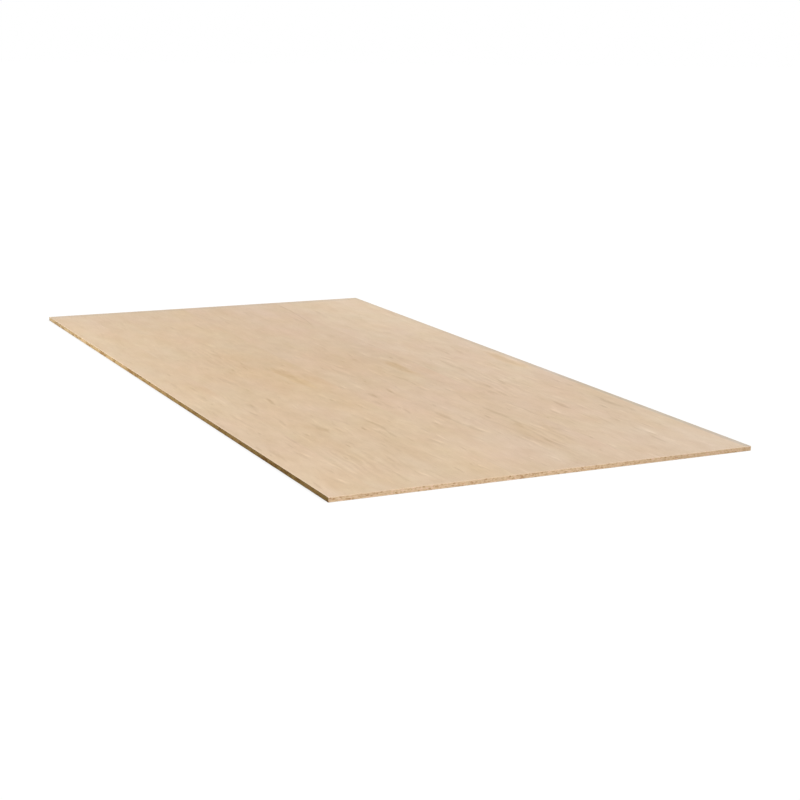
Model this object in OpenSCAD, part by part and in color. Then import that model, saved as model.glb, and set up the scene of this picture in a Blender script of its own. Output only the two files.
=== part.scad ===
// Plywood sheet, lying flat on its back face.
// Lengths are in millimetres. The origin is the middle of the back face.
// Y runs along the sheet and its face grain, X across it, and Z up through its thickness.

/* [Sheet] */
// Length of the sheet, along the face grain
sheet_length = 2438.4; // [300:0.1:3660]
// Width of the sheet, across the face grain
sheet_width = 1219.2; // [150:0.1:1830]
// Thickness of the sheet, from back veneer to face veneer
sheet_thickness = 12.7; // [3:0.1:38]

/* [Edges] */
// Radius of the sanded arris around the face and the back
arris_radius = 0.6; // [0.1:0.1:1.4]
// Radius at which the four trimmed corners are eased
corner_radius = 1; // [0.2:0.1:20]

/* [Hidden] */
// How far a section runs on past the sheet before the other sections trim it
overrun = 10;
$fn = 48;

// Rectangle, centred on the origin, with its corners rounded by true quarter circles
module rounded_rectangle(size, radius) {
    inner = [for (side = size) side - 2 * radius];
    square([size.x, inner.y], center = true);
    square([inner.x, size.y], center = true);
    for (x = [-inner.x, inner.x] / 2, y = [-inner.y, inner.y] / 2)
        translate([x, y])
            circle(r = radius);
}

// The sheet's cross section, of the given breadth, with its arrises eased
module eased_section(breadth) {
    translate([0, sheet_thickness / 2])
        rounded_rectangle([breadth, sheet_thickness], arris_radius);
}

// Cross section seen along the sheet, run along Y: it shapes the two long edges
module long_edges() {
    rotate([90, 0, 0])
        linear_extrude(height = sheet_length + 2 * overrun, center = true)
            eased_section(sheet_width);
}

// Cross section seen across the sheet, run along X: it shapes the two short edges
module short_edges() {
    rotate([90, 0, 90])
        linear_extrude(height = sheet_width + 2 * overrun, center = true)
            eased_section(sheet_length);
}

// Trimmed outline of the sheet, run up through its thickness: it eases the four corners
module trimmed_outline() {
    translate([0, 0, -overrun])
        linear_extrude(height = sheet_thickness + 2 * overrun)
            rounded_rectangle([sheet_width, sheet_length], corner_radius);
}

// One sheet of plies glued up and trimmed as a single board
module plywood_sheet() {
    color("burlywood")
        intersection() {
            long_edges();
            short_edges();
            trimmed_outline();
        }
}

plywood_sheet();
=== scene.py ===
"""A full sheet of veneer-faced plywood, lying flat under soft studio light.

Lengths are in metres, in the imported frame: X runs across the sheet, Y along its face grain, Z up.
Colours are written as they look on a screen, from 0 to 255, and screen_colour turns them into light.
A noise is a row of four: waves per metre in its two directions, its seed and its detail.
A pair named for a reach or a run is where something begins to show and where it shows fully.
"""
import math
import random

import bmesh
import bpy
from mathutils import Matrix, Vector, noise


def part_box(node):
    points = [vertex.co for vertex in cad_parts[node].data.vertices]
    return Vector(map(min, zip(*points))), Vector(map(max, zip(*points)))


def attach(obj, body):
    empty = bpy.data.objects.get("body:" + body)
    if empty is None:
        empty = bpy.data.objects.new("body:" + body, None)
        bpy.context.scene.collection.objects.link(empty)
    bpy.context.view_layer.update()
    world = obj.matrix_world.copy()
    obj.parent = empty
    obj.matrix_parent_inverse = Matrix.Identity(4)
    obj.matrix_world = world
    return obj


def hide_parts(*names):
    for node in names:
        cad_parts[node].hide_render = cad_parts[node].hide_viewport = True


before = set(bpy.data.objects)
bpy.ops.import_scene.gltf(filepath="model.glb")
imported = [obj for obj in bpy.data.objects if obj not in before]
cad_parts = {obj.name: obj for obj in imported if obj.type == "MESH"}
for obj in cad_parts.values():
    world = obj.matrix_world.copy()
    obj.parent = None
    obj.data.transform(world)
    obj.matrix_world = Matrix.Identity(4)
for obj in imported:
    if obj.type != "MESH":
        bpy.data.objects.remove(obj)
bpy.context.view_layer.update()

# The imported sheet
SHEET_NODE = "plywood_sheet"
low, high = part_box(SHEET_NODE)
SHEET_W, SHEET_L, SHEET_T = high - low
HALF_W = SHEET_W / 2
HALF_L = SHEET_L / 2

# How the sheet is laid up: a face and a back veneer on plies whose grain runs across and along in turn
ARRIS = 0.0006
CORNER = 0.001
VENEER_T = 0.0006
CORE_PLIES = 5
CORE_PLY_T = (SHEET_T - 2 * VENEER_T) / CORE_PLIES
GLUE_LINE_T = 0.00016

# The face's leaves, sliced one after another from one log and laid side by side
LEAF_W = 0.37
FIRST_LEAF_W = 0.13
FIRST_SEAM_X = FIRST_LEAF_W - HALF_W

# How finely the mesh is cut
CELL = 0.1
COLUMN = 0.003
ARRIS_STEPS = 3
CORNER_STEPS = 2
SHARP_ANGLE = math.radians(40)
FLAT_NORMAL = 0.9999
MERGE_DISTANCE = 1e-6

# Material slots of the sheet's mesh, the parts of a place, and the middle of a share
FACE, BACK, LONG_EDGE, SHORT_EDGE = range(4)
ACROSS, ALONG, UP = range(3)
MIDDLE = 0.5

# How a screen turns a level into light: a straight foot, then a power
SCREEN_WHITE = 255
SCREEN_FOOT = 0.04045
SCREEN_FOOT_SLOPE = 12.92
SCREEN_OFFSET = 0.055
SCREEN_POWER = 2.4

# Where a Mix node has its sockets for colours
MIX_SHARE, MIX_FIRST, MIX_SECOND = 0, 6, 7
MIX_RESULT = 2


def screen_colour(red, green, blue):
    """A colour as it looks on a screen, 0 to 255, in linear light with full alpha."""
    def light(level):
        level /= SCREEN_WHITE
        if level <= SCREEN_FOOT:
            return level / SCREEN_FOOT_SLOPE
        return ((level + SCREEN_OFFSET) / (1 + SCREEN_OFFSET)) ** SCREEN_POWER
    return (light(red), light(green), light(blue), 1.0)


def grey(level):
    """A grey that gives back this share of the light, with full alpha."""
    return (level, level, level, 1.0)


def span(share, levels):
    """From the first level, where the share is 0, to the second, where it is 1."""
    start, end = levels
    return share * (end - start) + start


class Value:
    """What one node gives. Arithmetic on it adds the matching Math nodes."""

    def __init__(self, finish, socket):
        self.finish = finish
        self.socket = socket

    def __add__(self, other):
        return self.finish.math("ADD", self, other)

    def __sub__(self, other):
        return self.finish.math("SUBTRACT", self, other)

    def __rsub__(self, other):
        return self.finish.math("SUBTRACT", other, self)

    def __mul__(self, other):
        return self.finish.math("MULTIPLY", self, other)

    def __truediv__(self, other):
        return self.finish.math("DIVIDE", self, other)


class Finish:
    """The nodes of a material or of the world, built up one by one."""

    def __init__(self, owner):
        self.owner = owner
        owner.use_nodes = True
        self.nodes = owner.node_tree.nodes
        self.links = owner.node_tree.links
        self.nodes.clear()

    def node(self, kind, inputs, **settings):
        """A new node with its settings and inputs."""
        made = self.nodes.new("ShaderNode" + kind)
        for name, value in settings.items():
            setattr(made, name, value)
        for key, value in inputs.items():
            if isinstance(value, Value):
                self.links.new(value.socket, made.inputs[key])
            else:
                made.inputs[key].default_value = value
        return made

    def add(self, kind, inputs, output=0, **settings):
        """A new node, as the value of one of its outputs."""
        return Value(self, self.node(kind, inputs, **settings).outputs[output])

    def math(self, operation, *values):
        """A Math node on one or more values."""
        return self.add("Math", dict(enumerate(values)), operation=operation)

    def place(self):
        """X, Y and Z on the piece, in metres."""
        return self.parts(self.add("TexCoord", {}, "Object"))

    def vector(self, x, y, z):
        """Three values as one vector."""
        return self.add("CombineXYZ", {0: x, 1: y, 2: z})

    def parts(self, vector):
        """The three parts of a vector or a colour."""
        return [Value(self, axis) for axis in self.node("SeparateXYZ", {0: vector}).outputs]

    def chance(self, number):
        """A random share for each number, always the same."""
        return self.add("TexWhiteNoise", {"W": number}, "Value", noise_dimensions="1D")

    def noise(self, x, y, z, detail):
        """Soft noise around zero, mostly within a quarter of it."""
        inputs = {"Vector": self.vector(x, y, z), "Scale": 1.0, "Detail": detail}
        return self.add("TexNoise", inputs) - MIDDLE

    def waves(self, first, second, row, seed=0.0):
        """The noise that a row gives, in two directions."""
        first_waves, second_waves, own_seed, detail = row
        return self.noise(first * first_waves, second * second_waves, seed + own_seed, detail)

    def edge_waves(self, along, up, row, seed):
        """The noise that a row gives, along a sawn edge and up it."""
        waves_along, waves_up, own_seed, detail = row
        return self.noise(along * waves_along, seed + own_seed, up * waves_up, detail)

    def cells(self, x, y, z, *outputs):
        """Scattered spots: the distance to the nearest, its place or its own random colour."""
        made = self.node("TexVoronoi", {"Vector": self.vector(x, y, z), "Scale": 1.0})
        return [Value(self, made.outputs[name]) for name in outputs]

    def ease(self, value, reach):
        """0 up to the start of a reach and 1 from its end on, whichever of the two is the larger."""
        inputs = {"Value": value, "From Min": reach[0], "From Max": reach[1]}
        return self.add("MapRange", inputs, interpolation_type="SMOOTHSTEP")

    def fade(self, value, run, levels):
        """From the first level, up to the start of a run, to the second, from its end on."""
        return span(self.ease(value, run), levels)

    def ramp(self, value, stops):
        """Colours along a line: stops are pairs of place and colour."""
        made = self.node("ValToRGB", {0: value})
        elements = made.color_ramp.elements
        while len(elements) < len(stops):
            elements.new(1.0)
        for element, (place, colour) in zip(elements, stops):
            element.position = place
            element.color = colour
        return Value(self, made.outputs[0])

    def mixed(self, blend_type, share, first, second):
        """Two colours joined, by the given share of the second."""
        inputs = {MIX_SHARE: share, MIX_FIRST: first, MIX_SECOND: second}
        return self.add("Mix", inputs, MIX_RESULT, data_type="RGBA", blend_type=blend_type)

    def tinted(self, colour, share, tint):
        """The colour multiplied by a tint of three channels, by the given share."""
        return self.mixed("MULTIPLY", share, colour, (*tint, 1.0))

    def shaded(self, colour, tone, warmth):
        """The colour made lighter or darker by a tone around zero, faster where the warmth is greater."""
        swing = self.vector(*[tone * share + 1.0 for share in warmth])
        return self.add("VectorMath", {0: colour, 1: swing}, operation="MULTIPLY")

    def close(self, colour, roughness, height, specular):
        """The shader, with a relief whose height is in metres."""
        relief = self.add("Bump", {"Height": height, "Distance": 1.0, "Strength": 1.0})
        inputs = {
            "Base Color": colour,
            "Roughness": roughness,
            "Normal": relief,
            "Specular IOR Level": specular,
        }
        shader = self.add("BsdfPrincipled", inputs)
        self.node("OutputMaterial", {"Surface": shader})
        return self.owner


# Darker wood is warmer, and less so in fine strokes and fibres: how fast each channel follows the tone
WOOD_WARMTH = (1.0, 1.4, 2.1)
FINE_WARMTH = (1.0, 1.2, 1.5)
# How each channel follows the drift between pinker and yellower wood, and between rosier and greener wood
HUE_DRIFT = (0.3, -0.1, -0.9)
ROSE_DRIFT = (0.3, -0.5, 0.3)

# Pores of both veneers, so many to a metre across and along the grain, and how the fibres roughen the wood
PORES_ACROSS = 420.0
PORES_ALONG = 55.0
PORE_REACH = (0.24, 0.10)
PORE_DEPTH = 0.00003
FIBRE_ROUGHNESS = 0.18
VENEER_SPECULAR = 0.2

# A soft spot runs from its rim to its middle, and a lens narrows towards its ends by this much
RIM_TO_MIDDLE = (1.0, 0.0)
LENS_POINT = 2.5


def soft_spot(finish, side, run):
    """1 in the middle and 0 at the rim, for shares of a spot's half width and half length."""
    return finish.ease(side * side + run * run, RIM_TO_MIDDLE)


def streak(finish, across, along, middle, size):
    """A soft spot at a place, long along the grain."""
    return soft_spot(finish, (across - middle[0]) / size[0], (along - middle[1]) / size[1])


def lens(finish, across, along, middle, size):
    """A soft spot at a place, long along the grain and pointed at both ends."""
    run = (along - middle[1]) / size[1]
    return soft_spot(finish, (across - middle[0]) / size[0] * (run * run * LENS_POINT + 1.0), run)


def pores(finish, across, along, seed):
    """Fine pores, longer along the grain than across it."""
    distance, = finish.cells(across * PORES_ACROSS, along * PORES_ALONG, seed, "Distance")
    return finish.ease(distance, PORE_REACH)


# From one leaf to the next the log's marks slip along and across, and noise takes another seed
LEAF_SLIP = 0.008
LEAF_SHIFT = 0.007
LEAF_SEED_STEP = 0.35

# How the face's grain runs: it bows, wanders, frays, and sways in the streaks, each so far in metres
FACE_BOW = (7.0, 5.0, 21.0, 2.0)
BOW_ACROSS = 0.014
FACE_WANDER = (30.0, 7.0, 0.0, 3.0)
WANDER_ACROSS = 0.016
WANDER_ALONG = 0.09
FACE_FRAY = (950.0, 6.0, 4.0, 2.0)
FRAY_ACROSS = 0.003
FRAY_ALONG = 0.05
FACE_SWAY = (15.0, 6.5, 7.0, 2.0)
SWAY_ACROSS = 0.045


class FaceGrain:
    """The grain at a place of the face, followed leaf by leaf."""

    def __init__(self, finish):
        self.finish = finish
        self.x, self.y, _ = finish.place()
        leaf_place = (self.x - FIRST_SEAM_X) / LEAF_W
        self.leaf = finish.math("FLOOR", leaf_place)
        self.in_leaf = (leaf_place - self.leaf) * LEAF_W
        self.seed = self.leaf * LEAF_SEED_STEP
        self.along = self.y + HALF_L + self.leaf * LEAF_SLIP
        bow = finish.waves(self.in_leaf, self.along, FACE_BOW, self.seed) * BOW_ACROSS
        self.across = self.in_leaf - self.leaf * LEAF_SHIFT + bow
        self.bowed_x = self.x + bow

        self.wander = self.waves(FACE_WANDER)
        fray = self.waves(FACE_FRAY)
        self.bent = self.across + self.wander * WANDER_ACROSS + fray * FRAY_ACROSS
        self.drift = self.along + self.wander * WANDER_ALONG + fray * FRAY_ALONG
        self.swayed = self.bent + self.waves(FACE_SWAY) * SWAY_ACROSS

    def waves(self, row):
        """The noise that a row gives, across and along the bowed grain."""
        return self.finish.waves(self.across, self.along, row, self.seed)


# The face's leaves from left to right: the colour at the left and at the right side of each
FACE_LEAVES = [
    ((222, 196, 166), (221, 195, 165)),
    ((219, 193, 162), (217, 190, 158)),
    ((217, 190, 160), (216, 190, 163)),
    ((218, 193, 166), (221, 197, 171)),
]
SEAM_STEP_SHARE = 0.0002


def seam_share(seam):
    """Where a seam lies across the sheet, as a share of its width."""
    return (FIRST_SEAM_X + seam * LEAF_W + HALF_W) / SHEET_W


def leaf_tints(finish, x):
    """Each leaf's own colour, drifting from its left to its right side."""
    stops = []
    for number, (left, right) in enumerate(FACE_LEAVES):
        is_last = number + 1 == len(FACE_LEAVES)
        start = 0.0 if number == 0 else seam_share(number - 1) + SEAM_STEP_SHARE
        end = 1.0 if is_last else seam_share(number) - SEAM_STEP_SHARE
        stops += [(start, screen_colour(*left)), (end, screen_colour(*right))]
    return finish.ramp((x + HALF_W) / SHEET_W, stops)


# The face's broad bands and its low figure: waves per metre across and along the grain, detail, strength
FACE_BANDS = [
    (13.0, 0.9, 2.0, 0.08),
    (6.0, 2.5, 1.0, 0.045),
    (11.0, 4.5, 1.0, 0.035),
    (24.0, 9.0, 1.0, 0.12),
]
FACE_FIGURE = [
    (110.0, 6.0, 3.0, 0.028),
    (36.0, 16.0, 2.0, 0.085),
    (80.0, 26.0, 2.0, 0.060),
]


def low_figure(grain, layers):
    """Bands and cloudy patches, lighter and darker around zero. Each layer's waves along also seed it."""
    tone = 0.0
    for waves_across, waves_along, detail, strength in layers:
        tone = grain.waves((waves_across, waves_along, waves_along, detail)) * strength + tone
    return tone


# The rings of the face's log, the place and sway of its heart, and how dark the rings are
RING_W = 0.0032
LOG_TAPER = 0.012
HEART_DEPTH = 0.055
HEART_ACROSS = 0.19
HEART_WAVES = 1.1
HEART_SEED = 3.0
HEART_DETAIL = 1.0
HEART_SWAY_DEPTH = 0.05
HEART_SWAY_ACROSS = 0.16
RING_RIPPLE = (28.0, 2.2, 0.0, 2.0)
RIPPLE_DEPTH = 0.011
RING_RISE = (0.35, 0.9)
RING_END = (1.0, 0.92)
RING_CHANCE = (0.4, 1.0)
RING_LEVELS = (0.2, 1.4)


def late_wood(finish, rings, rise):
    """How dark each ring is across its width, with a sharp end, and each ring's number."""
    number = finish.math("FLOOR", rings)
    phase = rings - number
    return finish.ease(phase, rise) * finish.ease(phase, RING_END), number


def growth_rings(finish, grain):
    """Rings of a log cut by a plane beside its heart: arches up the middle of a leaf, lines at its sides."""
    sway = finish.noise(grain.along * HEART_WAVES, grain.seed, HEART_SEED, HEART_DETAIL)
    ripple = grain.waves(RING_RIPPLE)
    side = grain.across - HEART_ACROSS - sway * HEART_SWAY_ACROSS
    depth = sway * HEART_SWAY_DEPTH + HEART_DEPTH
    radius = finish.math("SQRT", side * side + depth * depth)
    rings = (radius + grain.along * LOG_TAPER + ripple * RIPPLE_DEPTH) / RING_W
    dark, number = late_wood(finish, rings, RING_RISE)
    return dark * finish.fade(finish.chance(number), RING_CHANCE, RING_LEVELS)


# One ring stands out, most of all in one leaf, counted from the first whole one.
# Its tip is a place across the leaf and along the sheet.
DARK_RING_LEAF = 1.0
DARK_RING_TIP = (0.364, 2.42)
DARK_RING_BEND = 0.25
DARK_RING_WANDER = 0.01
DARK_RING_REACH = (0.0024, 0.0006)
DARK_RING_RUN = (1.85, 2.10)
DARK_RING_LEAVES = (1.0, 0.0)
DARK_RING_LEVELS = (0.04, 0.16)


def dark_ring(finish, grain):
    """One ring that stands out, bending in to a leaf's right side towards the far end of the sheet."""
    tip_across, tip_along = DARK_RING_TIP
    run = tip_along - grain.along
    across = grain.across + grain.wander * DARK_RING_WANDER
    off_line = finish.math("ABSOLUTE", run * run * DARK_RING_BEND + across - tip_across)
    shown = finish.ease(off_line, DARK_RING_REACH) * finish.ease(grain.along, DARK_RING_RUN)
    leaves_off = finish.math("ABSOLUTE", grain.leaf - DARK_RING_LEAF)
    return shown * finish.fade(leaves_off, DARK_RING_LEAVES, DARK_RING_LEVELS)


# Mineral streaks of the log, met again in each leaf:
# place across the leaf and along the sheet, half size, strength
FACE_STREAKS = [
    ((0.118, 0.600), (0.011, 0.100), 0.100),
    ((0.268, 0.582), (0.011, 0.110), 0.105),
    ((0.290, 1.230), (0.022, 0.170), 0.070),
    ((0.085, 1.210), (0.012, 0.100), 0.075),
    ((0.192, 1.600), (0.006, 0.100), 0.050),
    ((0.040, 0.880), (0.009, 0.065), 0.045),
    ((0.312, 2.080), (0.008, 0.090), 0.065),
    ((0.066, 2.200), (0.008, 0.060), 0.065),
]
# A streak's paler flank, in shares of the streak: place across and along, width, strength
FLANK_ACROSS = 1.5
FLANK_ALONG = 0.3
FLANK_WIDTH = 0.7
FLANK_STRENGTH = 0.4
STREAK_FIBRES = (260.0, 12.0, 0.0, 2.0)
STREAK_COMB = 3.0
# The narrow leaf at the left side has no streaks
STREAKED_LEAVES = (-0.9, -0.1)


def mineral_streaks(finish, grain):
    """Dark streaks with a paler flank, combed by the fibres that they follow."""
    tone = 0.0
    for middle, size, strength in FACE_STREAKS:
        dark = lens(finish, grain.swayed, grain.drift, middle, size)
        flank = (middle[0] + size[0] * FLANK_ACROSS, middle[1] + size[1] * FLANK_ALONG)
        light = lens(finish, grain.swayed, grain.drift, flank, (size[0] * FLANK_WIDTH, size[1]))
        tone = light * (strength * FLANK_STRENGTH) - dark * strength + tone
    comb = finish.waves(grain.swayed, grain.drift, STREAK_FIBRES, grain.seed) * STREAK_COMB + 1.0
    return tone * comb * finish.ease(grain.leaf, STREAKED_LEAVES)


# Flakes: so many to a metre across and along the grain, with a paler side so many half widths off
FLAKES_ACROSS = 18.0
FLAKES_ALONG = 8.5
FLAKE_CHANCE = (0.35, 1.0)
FLAKE_LEAN = 0.25
FLAKE_HALF_LENGTHS = (0.015, 0.051)
FLAKE_HALF_WIDTHS = (0.0030, 0.0078)
FLAKE_PALE_SIDE = 1.6
FLAKE_PALE = (0.15, 0.80)
FLAKE_DARK = (1.1, 0.4)


def flakes(finish, grain):
    """Strokes where the grain dips: dark on one side and paler on the other, each with its own strength."""
    place, colour = finish.cells(
        grain.bent * FLAKES_ACROSS, grain.drift * FLAKES_ALONG, grain.seed, "Position", "Color"
    )
    middle_across, middle_along, _ = finish.parts(place)
    strength, length, lean = finish.parts(colour)
    run = grain.drift - middle_along / FLAKES_ALONG
    side = grain.bent - middle_across / FLAKES_ACROSS + run * (lean - MIDDLE) * FLAKE_LEAN
    run = run / span(length * length, FLAKE_HALF_LENGTHS)
    side = side / span(length, FLAKE_HALF_WIDTHS)
    dark = soft_spot(finish, side, run) * span(lean, FLAKE_DARK)
    pale = soft_spot(finish, side - FLAKE_PALE_SIDE, run) * span(lean, FLAKE_PALE)
    return (pale - dark) * finish.ease(strength, FLAKE_CHANCE)


# Patches where the log's figure shows as wavy lines: place from the left side and the near edge, half size
FIGURE_PATCHES = [
    ((0.200, 0.250), (0.110, 0.200)),
    ((0.770, 0.330), (0.110, 0.170)),
    ((0.960, 0.900), (0.120, 0.220)),
    ((0.300, 1.560), (0.100, 0.260)),
]
FIGURE_SPACING = 0.022
FIGURE_SLANT = 0.06
FIGURE_BENDS = (20.0, 5.5, 5.0, 2.0)
FIGURE_BEND_ACROSS = 0.060
FIGURE_FADES = (60.0, 12.0, 0.0, 1.0)
FIGURE_FADE_STRENGTH = 2.0


def figure_lines(finish, grain):
    """Wavy lines along the grain, in a few patches of the face."""
    bend = finish.waves(grain.x, grain.y, FIGURE_BENDS, grain.seed) * FIGURE_BEND_ACROSS
    lines = (grain.x + bend - grain.y * FIGURE_SLANT) / FIGURE_SPACING
    wave = finish.math("SINE", lines * math.tau)
    shown = 0.0
    for middle, size in FIGURE_PATCHES:
        shown = streak(finish, grain.x + HALF_W, grain.y + HALF_L, middle, size) + shown
    fading = finish.waves(grain.x, grain.y, FIGURE_FADES, grain.seed) * FIGURE_FADE_STRENGTH
    return wave * shown * (fading + 1.0)


# Dark dashes, pale glints and small flecks in the face's grain, and how the fibres comb the longer strokes
STROKE_COMB = 4.0
FACE_DASHES = (44.0, 5.5, 2.0, 3.0)
DASH_REACH = (0.11, 0.24)
FACE_GLINTS = (44.0, 6.5, 12.0, 3.0)
GLINT_REACH = (0.10, 0.24)
FLECKS_ACROSS = 30.0
FLECKS_ALONG = 11.0
FLECK_SEED = 2.0
FLECK_REACH = (0.12, 0.03)
FLECK_CHANCE = (0.55, 1.0)
# The strokes are sharper towards the near edge: where along the sheet, and how strong they are there
SHARPER_RUN = (2.3, 0.5)
SHARPER_LEVELS = (0.54, 1.28)
# How strongly each of the strokes shows
FLAKE_TONE = 0.110
LINE_TONE = 0.030
GLINT_TONE = 0.056
DASH_TONE = 0.078


def strokes(finish, grain, fibre):
    """The face's figure, flakes, wavy lines, dark dashes and pale glints, lighter and darker around zero."""
    combed = fibre * STROKE_COMB + 1.0
    dash = finish.ease(finish.waves(grain.bent, grain.drift, FACE_DASHES, grain.seed), DASH_REACH)
    glint = finish.ease(finish.waves(grain.bent, grain.drift, FACE_GLINTS, grain.seed), GLINT_REACH)
    tone = (
        low_figure(grain, FACE_FIGURE)
        + flakes(finish, grain) * combed * FLAKE_TONE
        + figure_lines(finish, grain) * LINE_TONE
        + (glint * GLINT_TONE - dash * DASH_TONE) * combed
    )
    return tone * finish.fade(grain.along, SHARPER_RUN, SHARPER_LEVELS)


def flecks(finish, grain):
    """Small dark flecks, scattered, some darker than others."""
    distance, colour = finish.cells(
        grain.bent * FLECKS_ACROSS, grain.drift * FLECKS_ALONG, grain.seed + FLECK_SEED, "Distance", "Color"
    )
    chance, _, _ = finish.parts(colour)
    return finish.ease(distance, FLECK_REACH) * finish.ease(chance, FLECK_CHANCE)


# The face's fibres, its seams, and a painted highlight along its left arris
FACE_FIBRES = (1100.0, 16.0, 0.0, 3.0)
FACE_HAIRS = (2600.0, 24.0, 6.0, 2.0)
FACE_PORE_SEED = 0.0
SEAM_REACH = (0.0005, 0.0001)
ARRIS_HIGHLIGHT_REACH = (0.0065, 0.002)
# How strongly each of the fine marks shows
RING_TONE = 0.034
FLECK_TONE = 0.060
FIBRE_TONE = 0.13
HAIR_TONE = 0.26
PORE_TONE = 0.09
SEAM_TONE = 0.08
ARRIS_HIGHLIGHT_TONE = 0.09
# The face is paler at its near end
NEAR_END_RUN = (0.45, 0.0)
NEAR_END_TONE = 0.032
# How the fibres and seams stand out of the face, and how rough it is
FACE_FIBRE_HEIGHT = 0.00004
SEAM_DEPTH = 0.00004
FACE_ROUGHNESS = 0.66

# The drifts of the face's hue
HUE_WAVES = (8.0, 4.0, 9.0, 2.0)
HUE_TONE = 0.13
ROSE_WAVES = (9.0, 4.5, 19.0, 2.0)
ROSE_TONE = 0.10
# A warm streak in each of the streaked leaves, placed like theirs, stronger where the hue is yellower
WARM_STREAK = ((0.290, 1.210), (0.030, 0.200))
WARM_TINT = (1.0, 0.960, 0.850)
WARM_HUES = (-0.2, 0.2)
WARM_LEVELS = (0.4, 1.0)
# Soft zones of the face: place from the left side and the near edge, half size, tint
FACE_ZONES = [
    ((0.385, 1.220), (0.140, 0.520), (0.985, 0.962, 0.935)),
    ((0.250, 1.350), (0.230, 0.450), (0.995, 0.985, 0.970)),
    ((0.450, 1.640), (0.420, 0.420), (0.975, 0.980, 0.980)),
    ((0.815, 1.330), (0.080, 0.450), (0.970, 0.970, 0.955)),
    ((0.690, 1.230), (0.140, 0.380), (0.975, 0.970, 0.930)),
    ((0.780, 0.330), (0.060, 0.170), (0.975, 0.965, 0.930)),
    ((0.580, 0.480), (0.200, 0.560), (1.035, 1.055, 1.090)),
    ((1.120, 2.150), (0.240, 0.600), (1.035, 1.045, 1.030)),
    ((1.160, 0.700), (0.120, 0.340), (0.960, 0.945, 0.930)),
    ((0.400, 2.420), (0.560, 0.450), (0.990, 1.000, 1.030)),
]
ZONE_WANDER_ACROSS = 0.10
ZONE_WANDER_ALONG = 0.40
# Painted shade along the right arris, most of all at the near end, and a little along the far one
ARRIS_SHADE_TINT = (0.83, 0.90, 0.97)
ARRIS_SHADE_RIGHT = (0.022, 0.012)
ARRIS_SHADE_RUN = (1.9, 0.5)
ARRIS_SHADE_LEVELS = (0.3, 1.0)
ARRIS_SHADE_FAR = (0.050, 0.026)
ARRIS_SHADE_FAR_SHARE = 0.40


def face_colour(finish, grain, fine):
    """The leaves' colour, shaded by broad bands and fine marks, then tinted by hues, streaks, painted arris
    shade and zones.
    """
    broad = low_figure(grain, FACE_BANDS) + finish.ease(grain.along, NEAR_END_RUN) * NEAR_END_TONE
    colour = finish.shaded(leaf_tints(finish, grain.x), broad, WOOD_WARMTH)
    colour = finish.shaded(colour, fine, FINE_WARMTH)
    hue = grain.waves(HUE_WAVES)
    colour = finish.shaded(colour, hue * HUE_TONE, HUE_DRIFT)
    colour = finish.shaded(colour, grain.waves(ROSE_WAVES) * ROSE_TONE, ROSE_DRIFT)

    warm = streak(finish, grain.swayed, grain.drift, *WARM_STREAK) * finish.fade(hue, WARM_HUES, WARM_LEVELS)
    colour = finish.tinted(colour, warm * finish.ease(grain.leaf, STREAKED_LEAVES), WARM_TINT)
    # Painted shade along the right and the far arris
    right = finish.ease(HALF_W - grain.x, ARRIS_SHADE_RIGHT) * finish.fade(grain.along, ARRIS_SHADE_RUN, ARRIS_SHADE_LEVELS)
    far = finish.ease(HALF_L - grain.y, ARRIS_SHADE_FAR) * ARRIS_SHADE_FAR_SHARE
    colour = finish.tinted(colour, right + far, ARRIS_SHADE_TINT)
    zone_across = grain.x + HALF_W + grain.wander * ZONE_WANDER_ACROSS
    zone_along = grain.y + HALF_L + grain.wander * ZONE_WANDER_ALONG
    for middle, size, tint in FACE_ZONES:
        colour = finish.tinted(colour, streak(finish, zone_across, zone_along, middle, size), tint)
    return colour


def face_veneer():
    """Pale sliced hardwood, smoothed by the sander: four leaves with low figure, soft streaks and fine
    pores.
    """
    finish = Finish(bpy.data.materials.new("face_veneer"))
    grain = FaceGrain(finish)
    fibre = finish.waves(grain.bowed_x, grain.y, FACE_FIBRES)
    hair = finish.waves(grain.bowed_x, grain.y, FACE_HAIRS)
    pore = pores(finish, grain.bowed_x, grain.y, FACE_PORE_SEED)
    seam = finish.ease(finish.math("MINIMUM", grain.in_leaf, LEAF_W - grain.in_leaf), SEAM_REACH)
    # A paler band along the left arris: a painted highlight
    arris_highlight = finish.ease(grain.x + HALF_W, ARRIS_HIGHLIGHT_REACH)
    fine = (
        strokes(finish, grain, fibre)
        + mineral_streaks(finish, grain)
        - growth_rings(finish, grain) * RING_TONE
        - dark_ring(finish, grain)
        - flecks(finish, grain) * FLECK_TONE
        + fibre * FIBRE_TONE
        + hair * HAIR_TONE
        - pore * PORE_TONE
        - seam * SEAM_TONE
        + arris_highlight * ARRIS_HIGHLIGHT_TONE
    )
    roughness = fibre * FIBRE_ROUGHNESS + FACE_ROUGHNESS
    height = fibre * FACE_FIBRE_HEIGHT - pore * PORE_DEPTH - seam * SEAM_DEPTH
    return finish.close(face_colour(finish, grain, fine), roughness, height, VENEER_SPECULAR)


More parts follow.
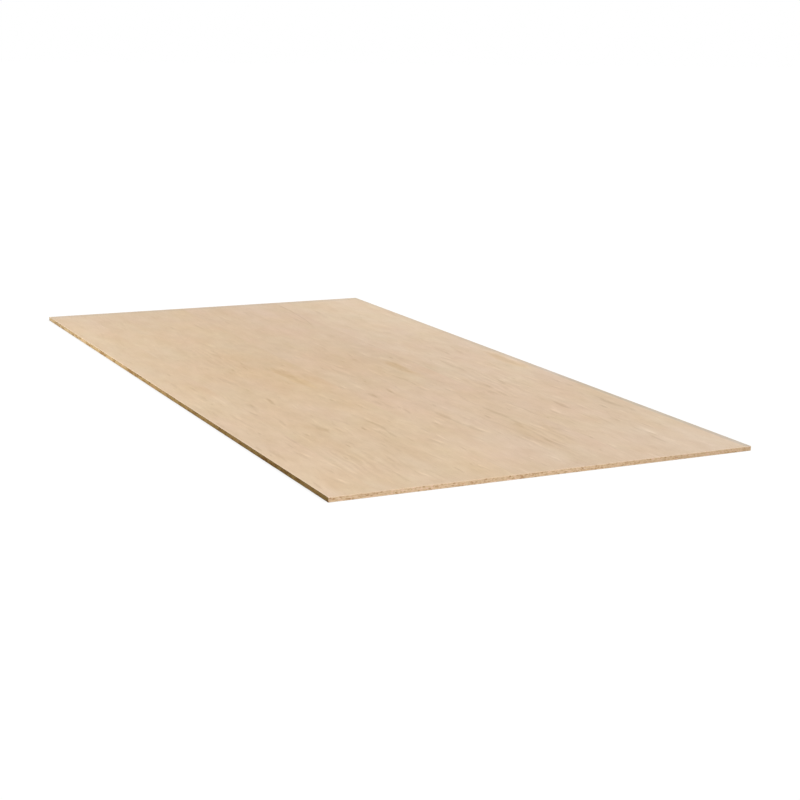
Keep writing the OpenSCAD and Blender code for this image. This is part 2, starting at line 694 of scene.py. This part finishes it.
# The back veneer: its colours, how its grain wanders, and its rings, fibres, bands, dashes and pores
BACK_COLOURS = [
    (0.30, screen_colour(206, 178, 144)),
    (0.55, screen_colour(214, 188, 157)),
    (0.75, screen_colour(210, 181, 148)),
]
BACK_CLOUDS = (3.0, 0.4, 12.0, 2.0)
BACK_WANDER = (6.0, 1.6, 11.0, 3.0)
BACK_RING_W = 0.021
BACK_RING_WANDER = 0.22
BACK_RING_SLANT = 0.015
BACK_RING_RISE = (0.3, 0.9)
BACK_RING_LEVELS = (0.4, 1.2)
BACK_FIBRES = (900.0, 14.0, 2.0, 3.0)
BACK_BANDS = (40.0, 1.8, 13.0, 3.0)
BACK_DASHES_ACROSS = 17.0
BACK_DASHES_ALONG = 3.0
BACK_DASH_SEED = 14.0
BACK_DASH_REACH = (0.20, 0.03)
BACK_PORE_SEED = 3.0
# How strongly each of them shows, how the fibres stand out of the back, and how rough it is
BACK_BAND_TONE = 0.16
BACK_FIBRE_TONE = 0.12
BACK_RING_TONE = 0.06
BACK_DASH_TONE = 0.07
BACK_PORE_TONE = 0.06
BACK_FIBRE_HEIGHT = 0.00005
BACK_ROUGHNESS = 0.72


def back_veneer():
    """Plainer hardwood, peeled from the log: broader figure, long dashes and a browner tone."""
    finish = Finish(bpy.data.materials.new("back_veneer"))
    x, y, _ = finish.place()
    wander = finish.waves(x, y, BACK_WANDER)
    rings = (x + wander * BACK_RING_WANDER + y * BACK_RING_SLANT) / BACK_RING_W
    ring, number = late_wood(finish, rings, BACK_RING_RISE)
    ring = ring * span(finish.chance(number), BACK_RING_LEVELS)
    fibre = finish.waves(x, y, BACK_FIBRES)
    distance, = finish.cells(
        x * BACK_DASHES_ACROSS + wander, y * BACK_DASHES_ALONG, BACK_DASH_SEED, "Distance"
    )
    dash = finish.ease(distance, BACK_DASH_REACH)
    pore = pores(finish, x, y, BACK_PORE_SEED)
    tone = (
        finish.waves(x, y, BACK_BANDS) * BACK_BAND_TONE
        + fibre * BACK_FIBRE_TONE
        - ring * BACK_RING_TONE
        - dash * BACK_DASH_TONE
        - pore * BACK_PORE_TONE
    )
    colour = finish.ramp(finish.waves(x, y, BACK_CLOUDS) + MIDDLE, BACK_COLOURS)
    colour = finish.shaded(colour, tone, WOOD_WARMTH)
    roughness = fibre * FIBRE_ROUGHNESS + BACK_ROUGHNESS
    height = fibre * BACK_FIBRE_HEIGHT - pore * PORE_DEPTH
    return finish.close(colour, roughness, height, VENEER_SPECULAR)


# Colours of the sawn plies, from the darkest wood to the palest, and where each stands in their mottle
EDGE_COLOURS = [
    (0.16, screen_colour(180, 143, 107)),
    (0.38, screen_colour(211, 182, 151)),
    (0.58, screen_colour(219, 192, 157)),
    (0.84, screen_colour(229, 195, 172)),
]
# The long edges are cut along the face grain and the short ones across it. Stains and tears are noises along
# the edge and up it, wood is a tint, and the last two are a tint that darkens the wood and the run along the
# edge where it does. On the left edge this darkening is painted shade, warm and deepest at the near end; the
# near edge only gets darker towards its right end.
LONG_EDGE_LOOKS = {
    "end_grain_at_bottom": True,
    "stains": (19.0, 45.0, 5.0, 2.0),
    "stain_strength": 1.7,
    "shade_strength": 0.8,
    "tears": (70.0, 150.0, 8.0, 4.0),
    "wood": (0.985, 1.015, 0.87),
    "darkening": (1.20, -0.70),
    "darkening_tint": (0.86, 0.725, 0.40),
}
SHORT_EDGE_LOOKS = {
    "end_grain_at_bottom": False,
    "stains": (40.0, 45.0, 5.0, 2.0),
    "stain_strength": 0.4,
    "shade_strength": 0.4,
    "tears": (140.0, 150.0, 8.0, 4.0),
    "wood": (1.0, 1.0, 1.0),
    "darkening": (0.05, 0.45),
    "darkening_tint": (0.85, 0.84, 0.82),
}

# Lathe checks, drawn for each ply: offsets and widths are shares of the spacing, reaches and ends of a ply
CHECK_SPACING = 0.0042
CHECK_KINKS = (300.0, 2.0, 0.0, 1.0)
CHECK_KINK_ALONG = 0.0009
CHECK_PLY_DRAWS = 10.0
CHECK_PLY_STEP = 0.37
CHECK_REACH_STEP = 0.13
CHECK_OFFSETS = (0.15, 0.85)
CHECK_REACHES = (-0.25, 0.95)
CHECK_WIDTH = (0.045, 0.015)
CHECK_END = (0.12, -0.12)


def lathe_checks(finish, leaning, in_ply, seed):
    """Short cracks that peeling opened in a ply: each starts at one glue line and leans the same way."""
    kink = finish.waves(leaning, in_ply, CHECK_KINKS, seed) * CHECK_KINK_ALONG
    slots = (leaning + kink) / CHECK_SPACING
    number = finish.math("FLOOR", slots)
    draw = number + finish.math("FLOOR", seed * CHECK_PLY_DRAWS) * CHECK_PLY_STEP
    offset = span(finish.chance(draw), CHECK_OFFSETS)
    line = finish.math("ABSOLUTE", slots - number - offset)
    reach = span(finish.chance(draw + CHECK_REACH_STEP), CHECK_REACHES)
    return finish.ease(line, CHECK_WIDTH) * finish.ease(in_ply - reach, CHECK_END)


# Opposite edges and the plies of one edge have noise of their own, cracks and stains lean along the edge,
# and glue lines sway a little
EDGE_SEED_STEP = 37.0
PLY_SEED_STEP = 7.31
PLY_LEAN = 0.6
GLUE_SWAY_WAVES = 22.0
GLUE_SWAY_SEED = 1.0
GLUE_SWAY_DETAIL = 2.0
GLUE_SWAY_UP = 0.0003
GLUE_REACH = (0.00022, 0.00006)
# Patches, finer in end grain, then shades, fibres, specks and brown knots, fewer higher up
PATCH_WAVES = (40.0, 100.0)
PATCH_WAVES_UP = 260.0
PATCH_DETAIL = 3.0
EDGE_SHADES = (7.0, 30.0, 3.0, 1.0)
EDGE_FIBRES = (45.0, 3600.0, 0.0, 3.0)
EDGE_SPECKS = (1300.0, 1500.0, 0.0, 2.0)
EDGE_KNOTS = (130.0, 240.0, 20.0, 2.0)
KNOT_REACH = (0.06, 0.20)
KNOTS_FEWER_UP = 6.0
# The saw's marks: so many radians a metre, bent by the blade's curve and the sway of the cut
SAW_MARK_TURNS = 2600.0
SAW_MARK_CURVE = 9.0
SAW_MARK_SWAY = 14.0
# How strongly these mottle the plies, and how the grain combs stains and tears
PATCH_STRENGTH = 1.35
STAIN_COMB = 1.5
TEAR_STRENGTH = 1.5
TEAR_COMB = 2.5
# How strongly the other marks show
EDGE_GRAIN_TONE = 0.30
CHECK_TONE = 0.26
KNOT_TONE = 0.27
GLUE_TONE = 0.16
END_GRAIN_TONE = 0.08
SAW_MARK_TONE = 0.012
# The left and the near edge are darkened: the left one by painted shade, the near one towards its right end
DARKENED_SIDE = (0.1, -0.1)
# How the marks stand out of the edges, and how rough these are
EDGE_GRAIN_HEIGHT = 0.00012
CHECK_DEPTH = 0.00012
SAW_MARK_HEIGHT = 0.000012
EDGE_GRAIN_ROUGHNESS = 0.2
EDGE_ROUGHNESS = 0.82
EDGE_SPECULAR = 0.15


def sawn_edge(name, run, side, looks):
    """Sawn plies, end and long grain in turn, with glue lines, lathe checks, brown knots and saw marks."""
    finish = Finish(bpy.data.materials.new(name))
    place = finish.place()
    along, other, up = place[run], place[side], place[UP]
    edge_seed = other * EDGE_SEED_STEP
    leaning = along + up * PLY_LEAN

    sway = finish.noise(along * GLUE_SWAY_WAVES, edge_seed, GLUE_SWAY_SEED, GLUE_SWAY_DETAIL)
    ply_place = (up - VENEER_T + sway * GLUE_SWAY_UP) / CORE_PLY_T
    ply = finish.math("FLOOR", ply_place)
    in_ply = ply_place - ply
    ply_seed = ply * PLY_SEED_STEP + edge_seed
    parity = finish.math("FLOORED_MODULO", ply, 2.0)
    end_grain = 1.0 - parity if looks["end_grain_at_bottom"] else parity

    patch_waves = span(end_grain, PATCH_WAVES)
    patch = finish.noise(along * patch_waves, ply_seed, up * PATCH_WAVES_UP, PATCH_DETAIL)
    shade = finish.edge_waves(along, up, EDGE_SHADES, edge_seed)
    fibre = finish.waves(along, up, EDGE_FIBRES, ply_seed)
    speck = finish.waves(along, up, EDGE_SPECKS, ply_seed)
    grain = fibre * (1.0 - end_grain) + speck * end_grain
    stain = finish.edge_waves(leaning, up, looks["stains"], edge_seed)
    tear = finish.edge_waves(along, up, looks["tears"], edge_seed)
    mottle = (
        patch * PATCH_STRENGTH
        + shade * looks["shade_strength"]
        + stain * (grain * STAIN_COMB + looks["stain_strength"])
        + tear * (grain * TEAR_COMB + TEAR_STRENGTH)
    )
    colour = finish.tinted(finish.ramp(mottle + MIDDLE, EDGE_COLOURS), 1.0, looks["wood"])

    check = lathe_checks(finish, leaning, in_ply, ply_seed) * end_grain
    knot = finish.ease(finish.edge_waves(along, up, EDGE_KNOTS, ply_seed) - up * KNOTS_FEWER_UP, KNOT_REACH)
    glue = finish.ease(finish.math("MINIMUM", in_ply, 1.0 - in_ply) * CORE_PLY_T, GLUE_REACH)
    saw_turn = (along + up * up * SAW_MARK_CURVE) * SAW_MARK_TURNS + sway * SAW_MARK_SWAY
    saw_mark = finish.math("SINE", saw_turn)
    tone = (
        grain * EDGE_GRAIN_TONE
        - check * CHECK_TONE
        - knot * KNOT_TONE
        - glue * GLUE_TONE
        - end_grain * END_GRAIN_TONE
        + saw_mark * SAW_MARK_TONE
    )
    colour = finish.shaded(colour, tone, WOOD_WARMTH)
    # Painted warm shade at the near end of the left edge; the near edge only darkens towards its right end
    darkening = finish.ease(along, looks["darkening"]) * finish.ease(other, DARKENED_SIDE)
    colour = finish.tinted(colour, darkening, looks["darkening_tint"])
    roughness = grain * EDGE_GRAIN_ROUGHNESS + EDGE_ROUGHNESS
    height = grain * EDGE_GRAIN_HEIGHT - check * CHECK_DEPTH + saw_mark * SAW_MARK_HEIGHT
    return finish.close(colour, roughness, height, EDGE_SPECULAR)


def outward(spot):
    """The nearest point of the sheet's core rectangle, and the direction out of the sheet from it."""
    core_x = max(-HALF_W + CORNER, min(HALF_W - CORNER, spot.x))
    core_y = max(-HALF_L + CORNER, min(HALF_L - CORNER, spot.y))
    core = Vector((core_x, core_y))
    return core, (spot.xy - core).normalized()


def only(kind, geometry):
    """The members of one kind in a list of bmesh geometry."""
    return [member for member in geometry if isinstance(member, kind)]


def vert_place(vert):
    """Where a point is, as a key to sort by."""
    return tuple(vert.co)


def face_place(face):
    """Where a face's middle is, as a key to sort by."""
    return tuple(face.calc_center_median())


def put_in_order(elements, place):
    """Sorts a mesh's points or faces by their places, so that each run gives the same mesh."""
    for number, element in enumerate(sorted(elements, key=place)):
        element.index = number
    elements.sort()


def flat_face(mesh):
    """The flat of the face veneer: a grid of wide cells whose rim is cut into fine columns."""
    cells_across, cells_along = round(SHEET_W / CELL), round(SHEET_L / CELL)
    bmesh.ops.create_grid(mesh, x_segments=cells_across, y_segments=cells_along, size=1 / 2)
    bmesh.ops.scale(mesh, vec=(SHEET_W - 2 * ARRIS, SHEET_L - 2 * ARRIS, 1), verts=mesh.verts)
    bmesh.ops.translate(mesh, vec=(0, 0, SHEET_T), verts=mesh.verts)
    corners = [v for v in mesh.verts if len(v.link_edges) == 2]
    bmesh.ops.bevel(
        mesh, geom=corners, affect="VERTICES", offset=CORNER - ARRIS, offset_type="OFFSET",
        segments=CORNER_STEPS, profile=0.5, material=-1,
    )
    rim = [e for e in mesh.edges if e.is_boundary and e.calc_length() > COLUMN]
    bmesh.ops.subdivide_edges(mesh, edges=rim, cuts=round(CELL / COLUMN))


def rim_section():
    """Points down the edge from the face to the back: distance in, height, and the layer just above."""
    points = []
    turns = [math.pi / 2 * step / ARRIS_STEPS for step in range(1, ARRIS_STEPS + 1)]
    for turn in turns:
        points.append((ARRIS * (1 - math.sin(turn)), SHEET_T - ARRIS * (1 - math.cos(turn)), FACE))
    for ply in reversed(range(CORE_PLIES)):
        floor_of_ply = VENEER_T + ply * CORE_PLY_T
        heights = (CORE_PLY_T - GLUE_LINE_T / 2, CORE_PLY_T / 2, GLUE_LINE_T / 2)
        points += [(0, floor_of_ply + height, LONG_EDGE) for height in heights]
    points.append((0, VENEER_T, LONG_EDGE))
    for turn in turns:
        points.append((ARRIS * (1 - math.cos(turn)), ARRIS * (1 - math.sin(turn)), BACK))
    return points


def wrap_rim(mesh):
    """Carries the face's rim over the arris and down the sawn plies to the back."""
    loop = [e for e in mesh.edges if e.is_boundary]
    for inset, height, layer in rim_section():
        made = bmesh.ops.extrude_edge_only(mesh, edges=loop)["geom"]
        for vert in only(bmesh.types.BMVert, made):
            core, out = outward(vert.co)
            vert.co = (*(core + out * (CORNER - inset)), height)
        for face in only(bmesh.types.BMFace, made):
            face.material_index = layer
        loop = [e for e in only(bmesh.types.BMEdge, made) if e.is_boundary]


def close_back(mesh, flat):
    """Lays a copy of the face's flat under the sheet, turned over, and joins it to the rim."""
    copied = bmesh.ops.duplicate(mesh, geom=flat)["geom"]
    bmesh.ops.translate(mesh, vec=(0, 0, -SHEET_T), verts=only(bmesh.types.BMVert, copied))
    for face in only(bmesh.types.BMFace, copied):
        face.material_index = BACK
    bmesh.ops.remove_doubles(mesh, verts=mesh.verts, dist=MERGE_DISTANCE)
    bmesh.ops.recalc_face_normals(mesh, faces=mesh.faces)


EDGE_LENGTHS = {"left": SHEET_L, "right": SHEET_L, "near": SHEET_W, "far": SHEET_W}
EDGE_SEEDS = {"left": 1.7, "right": 5.3, "near": 9.1, "far": 13.9}
LONG_SIDES = ("left", "right")


def edge_place(spot, out):
    """Which edge a rim point is on and how far along it: long edges run along Y, short ones along X."""
    if abs(out.x) > abs(out.y):
        return ("right" if out.x > 0 else "left"), spot.y
    return ("far" if out.y > 0 else "near"), spot.x


# Splinters torn from the back arris, on edges along the grain and across it: spacing and greatest half width
LONG_SPLINTERS = (0.080, 0.012)
CROSS_SPLINTERS = (0.026, 0.005)
# Their sizes, as shares of the greatest half width, of the deepest splinter and of the veneer's thickness
SPLINTER_WIDTHS = (0.3, 1.0)
SHALLOWEST_SPLINTER = 0.2
SPLINTER_HEIGHTS = (0.8, 1.5)
DEEPEST_SPLINTER = 0.0010
SPLINTER_SEED = 41


def splinters():
    """Where the saw tore the back veneer's arris: for each edge, middle, half width, depth and height."""
    chance = random.Random(SPLINTER_SEED)
    torn = {}
    for edge, length in EDGE_LENGTHS.items():
        spacing, widest = LONG_SPLINTERS if edge in LONG_SIDES else CROSS_SPLINTERS
        torn[edge] = []
        for _ in range(round(length / spacing)):
            middle = chance.uniform(-length / 2 + widest, length / 2 - widest)
            half_width = widest * chance.uniform(*SPLINTER_WIDTHS)
            depth = DEEPEST_SPLINTER * span(chance.random() ** 2, (SHALLOWEST_SPLINTER, 1))
            torn[edge].append((middle, half_width, depth, VENEER_T * chance.uniform(*SPLINTER_HEIGHTS)))
    return torn


def splinter_depth(torn, run, height):
    """How far a torn arris is taken back at a point along an edge."""
    deepest = 0
    for middle, half_width, depth, top in torn:
        share = abs(run - middle) / half_width
        if share < 1 and height < top:
            deepest = max(deepest, depth * (1 - share * share) * (1 - height / top))
    return deepest


# How the saw left the plies: how far they stand back, how rough they are, and how many waves to a metre
END_GRAIN_CUT = (0.00014, 0.00010, 160)
LONG_GRAIN_CUT = (0.00003, 0.00004, 40)
# The saw's wander, how the plies' noises lie apart, and how near to a ply's side the glue line stands out
SAW_WANDER = 0.00005
SAW_WANDER_WAVES = 28
SAW_WANDER_WAVES_UP = 40
PLY_CUT_STEP = 3.7
GLUE_LINE_SIDE = 0.00012


def sawn_depth(edge, run, height):
    """How far the saw and the grain have taken a ply back at a point of an edge."""
    seed = EDGE_SEEDS[edge]
    wave = noise.noise((run * SAW_WANDER_WAVES, height * SAW_WANDER_WAVES_UP, seed))
    wander = SAW_WANDER * (1 + wave)
    ply_place = (height - VENEER_T) / CORE_PLY_T
    if not 0 < ply_place < CORE_PLIES:
        return wander
    ply = int(ply_place)
    if min(ply_place - ply, ply + 1 - ply_place) * CORE_PLY_T < GLUE_LINE_SIDE:
        return wander
    end_grain = (ply % 2 == 0) == (edge in LONG_SIDES)
    recess, roughness, waves = END_GRAIN_CUT if end_grain else LONG_GRAIN_CUT
    return wander + recess + roughness * (1 + noise.noise((run * waves, ply * PLY_CUT_STEP, seed)))


def saw_the_rim(rim):
    """Takes the rim's points back, never out, to leave the plies, the saw's wander and the torn arris."""
    torn = splinters()
    for vert in rim:
        _, out = outward(vert.co)
        edge, run = edge_place(vert.co, out)
        depth = splinter_depth(torn[edge], run, vert.co.z)
        if vert.co.z > MERGE_DISTANCE:
            depth += sawn_depth(edge, run, vert.co.z)
        vert.co.xy -= out * depth


# Chips in the edges: the farthest lies this share of an edge's length from its middle, a floor's points
# are at shares of the depth, and the plies are counted from the bottom, the likelier ones twice
CHIP_SPACING = 0.11
CHIP_FARTHEST = 0.48
CHIP_HALF_WIDTHS = (0.0016, 0.0050)
CHIP_DEPTHS = (0.0007, 0.0020)
CHIP_FLOOR = (0.5, 1.0)
CHIP_PLIES = (0, 1, 1, 2, 2, 3)
CHIP_GAP = 2 * COLUMN
CHIP_SEED = 17


def chip_walls(mesh, edge, ply, middle, half_width):
    """The sawn faces of one ply that a chip takes in."""
    floor_of_ply = VENEER_T + ply * CORE_PLY_T
    walls = []
    for face in mesh.faces:
        if face.material_index not in (LONG_EDGE, SHORT_EDGE):
            continue
        centre = face.calc_center_median()
        if not GLUE_LINE_T < centre.z - floor_of_ply < CORE_PLY_T - GLUE_LINE_T:
            continue
        _, out = outward(centre)
        found, run = edge_place(centre, out)
        if found == edge and abs(run - middle) < half_width:
            walls.append(face)
    return walls


def chips(mesh):
    """Small hollows in the plies, where the saw tore a bit of wood out between two glue lines."""
    chance = random.Random(CHIP_SEED)
    taken = []
    for edge, length in EDGE_LENGTHS.items():
        for _ in range(round(length / CHIP_SPACING)):
            middle = chance.uniform(-CHIP_FARTHEST, CHIP_FARTHEST) * length
            half_width = chance.uniform(*CHIP_HALF_WIDTHS)
            ply = chance.choice(CHIP_PLIES)
            depth = chance.uniform(*CHIP_DEPTHS)
            if any(
                place == (edge, ply) and abs(other_middle - middle) < half_width + other_half + CHIP_GAP
                for place, other_middle, other_half in taken
            ):
                continue
            taken.append(((edge, ply), middle, half_width))
            walls = chip_walls(mesh, edge, ply, middle, half_width)
            if not walls:
                continue
            _, out = outward(walls[0].calc_center_median())
            made = bmesh.ops.extrude_face_region(mesh, geom=walls)["geom"]
            for vert in sorted(only(bmesh.types.BMVert, made), key=vert_place):
                vert.co.xy -= out * depth * chance.uniform(*CHIP_FLOOR)
            bmesh.ops.delete(mesh, geom=[f for f in walls if f.is_valid], context="FACES_ONLY")


def is_flat(face):
    """Whether a face lies level, as the two flats do."""
    return abs(face.normal.z) > FLAT_NORMAL


def soften_edges(mesh):
    """Smooth over the rim's small steps, sharp round the two flats and at real breaks."""
    for face in mesh.faces:
        face.smooth = True
    for edge in mesh.edges:
        flats = [f for f in edge.link_faces if f.material_index in (FACE, BACK) and is_flat(f)]
        edge.smooth = edge.calc_face_angle(math.pi) < SHARP_ANGLE and len(flats) != 1


# Where the sheet's surfaces lie on its OFBake map: left, right, bottom and top shares
MAP_FACE = (0.003, 0.660, 0.003, 0.997)
MAP_BACK = (0.668, 0.926, 0.003, 0.997)
MAP_EDGES = {
    "left": (0.934, 0.952, 0.003, 0.997),
    "right": (0.957, 0.975, 0.003, 0.997),
    "near": (0.980, 0.998, 0.003, 0.496),
    "far": (0.980, 0.998, 0.504, 0.997),
}


def lay_out_map(mesh):
    """Lays each surface flat on the OFBake map, with most of the room for the face."""
    layer = mesh.loops.layers.uv.new("OFBake")
    for face in mesh.faces:
        on_edge = face.material_index in (LONG_EDGE, SHORT_EDGE)
        _, out = outward(face.calc_center_median()) if on_edge else (None, None)
        for loop in face.loops:
            spot = loop.vert.co
            if on_edge:
                edge, run = edge_place(spot, out)
                shares = spot.z / SHEET_T, run / EDGE_LENGTHS[edge] + MIDDLE
                area = MAP_EDGES[edge]
            else:
                shares = spot.x / SHEET_W + MIDDLE, spot.y / SHEET_L + MIDDLE
                area = MAP_FACE if face.material_index == FACE else MAP_BACK
            left, right, bottom, top = area
            loop[layer].uv = (left + (right - left) * shares[0], bottom + (top - bottom) * shares[1])


def placed(name, data):
    """A new object in the scene."""
    made = bpy.data.objects.new(name, data)
    bpy.context.collection.objects.link(made)
    return made


def finished(name, mesh, materials):
    """The object of a finished mesh, with its materials."""
    data = bpy.data.meshes.new(name)
    for material in materials:
        data.materials.append(material)
    mesh.to_mesh(data)
    mesh.free()
    return placed(name, data)


def veneered_sheet():
    """The sheet: two veneered flats, eased arrises and sawn edges with their plies."""
    mesh = bmesh.new()
    flat_face(mesh)
    flat = list(mesh.faces) + list(mesh.edges) + list(mesh.verts)
    inner = set(mesh.verts)
    wrap_rim(mesh)
    close_back(mesh, flat)
    for face in mesh.faces:
        if face.material_index == LONG_EDGE:
            _, out = outward(face.calc_center_median())
            face.material_index = LONG_EDGE if abs(out.x) > abs(out.y) else SHORT_EDGE
    saw_the_rim([v for v in mesh.verts if v not in inner and not all(is_flat(f) for f in v.link_faces)])
    chips(mesh)
    put_in_order(mesh.verts, vert_place)
    put_in_order(mesh.faces, face_place)
    mesh.normal_update()
    soften_edges(mesh)
    lay_out_map(mesh)

    piece = finished("veneered_sheet", mesh, [
        face_veneer(),
        back_veneer(),
        sawn_edge("long_sawn_edge", ALONG, ACROSS, LONG_EDGE_LOOKS),
        sawn_edge("short_sawn_edge", ACROSS, ALONG, SHORT_EDGE_LOOKS),
    ])
    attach(piece, "root")
    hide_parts(SHEET_NODE)


# The floor: its size, how far it lies under the sheet, the light it spreads and how it looks to the camera
FLOOR_HALF = 30.0
FLOOR_DROP = 0.0003
FLOOR_BOUNCE = 0.28
FLOOR_SHADOW_SHARE = 0.14
FLOOR_GLOW = 0.885
# The lights: an even sky, a key from the front right, and a fill aimed at the far half of the left edge
AMBIENT = 0.28
WHITE = grey(1.0)
KEY_ENERGY = 3.30
KEY_ELEVATION = math.radians(40)
KEY_TURN = math.radians(25)
KEY_SOFTNESS = math.radians(28)
FILL_ENERGY = 12.0
FILL_PLACE = Vector((-1.8, 0.75, 0.08))
FILL_SIZE = (0.6, 0.12)
FILL_AIM_SHARE = 0.6


def seen_directly(finish):
    """1 for what the camera sees, also in a mirror or through glass, and 0 for the light that spreads."""
    path = finish.node("LightPath", {})
    names = ("Is Camera Ray", "Is Glossy Ray", "Is Transmission Ray")
    camera, glossy, through = [Value(finish, path.outputs[name]) for name in names]
    return finish.math("MAXIMUM", finish.math("MAXIMUM", camera, glossy), through)


def pale_floor():
    """A plain white floor that keeps the sheet's soft shadow and spreads only a little light."""
    mesh = bmesh.new()
    bmesh.ops.create_grid(mesh, x_segments=1, y_segments=1, size=FLOOR_HALF)
    bmesh.ops.translate(mesh, vec=(0, 0, -FLOOR_DROP), verts=mesh.verts)
    finish = Finish(bpy.data.materials.new("floor"))
    seen = seen_directly(finish)
    shade = finish.mixed("MIX", seen, grey(FLOOR_BOUNCE), grey(FLOOR_SHADOW_SHARE))
    matt = finish.add("BsdfDiffuse", {"Color": shade})
    glow = finish.add("Emission", {"Strength": seen * FLOOR_GLOW})
    finish.node("OutputMaterial", {"Surface": finish.add("AddShader", {0: matt, 1: glow})})
    finished("floor", mesh, [finish.owner])


def direction(turn, elevation):
    """The way to something seen at a turn to the right of straight in front, and at an elevation."""
    return Vector((
        math.sin(turn) * math.cos(elevation),
        -math.cos(turn) * math.cos(elevation),
        math.sin(elevation),
    ))


def soft_lights():
    """A broad key, an even sky, and a low fill at the far left that fades along the edge."""
    key = bpy.data.lights.new("key", "SUN")
    key.energy = KEY_ENERGY
    key.angle = KEY_SOFTNESS
    toward_key = direction(KEY_TURN, KEY_ELEVATION)
    placed("key", key).rotation_euler = toward_key.to_track_quat("Z", "Y").to_euler()

    fill = bpy.data.lights.new("fill", "AREA")
    fill.energy = FILL_ENERGY
    fill.shape = "RECTANGLE"
    fill.size, fill.size_y = FILL_SIZE
    fill_object = placed("fill", fill)
    fill_object.location = FILL_PLACE
    aim = Vector((-HALF_W, HALF_L * FILL_AIM_SHARE, SHEET_T / 2))
    fill_object.rotation_euler = (FILL_PLACE - aim).to_track_quat("Z", "Y").to_euler()
    fill_object.visible_camera = False

    sky = Finish(bpy.data.worlds.new("studio"))
    strength = span(seen_directly(sky), (AMBIENT, 1.0))
    sky.node("OutputWorld", {"Surface": sky.add("Background", {"Color": WHITE, "Strength": strength})})
    bpy.context.scene.world = sky.owner


# The camera, as the corners of the photographed sheet place it
CAMERA_TURN = math.radians(-27.04)
CAMERA_ELEVATION = math.radians(13.26)
CAMERA_ROLL = math.radians(1.27)
CAMERA_TARGET = Vector((-0.0162, -0.4082, SHEET_T))
CAMERA_DISTANCE = 4.7032
CAMERA_LENS = 73.2
CAMERA_SENSOR = 36.0


def photo_camera():
    """The photo's camera, which looks down at the sheet from the front left with a slight roll."""
    back = direction(CAMERA_TURN, CAMERA_ELEVATION)
    level = Vector((math.cos(CAMERA_TURN), math.sin(CAMERA_TURN), 0))
    roll = Matrix.Rotation(CAMERA_ROLL, 3, back)
    facing = Matrix((roll @ level, roll @ back.cross(level), back)).transposed().to_4x4()
    camera = bpy.data.cameras.new("photo_camera")
    camera.lens = CAMERA_LENS
    camera.sensor_width = CAMERA_SENSOR
    holder = placed("photo_camera", camera)
    holder.matrix_world = Matrix.Translation(CAMERA_TARGET + back * CAMERA_DISTANCE) @ facing
    bpy.context.scene.camera = holder


veneered_sheet()
pale_floor()
soft_lights()
photo_camera()
bpy.context.scene.view_settings.view_transform = "Standard"
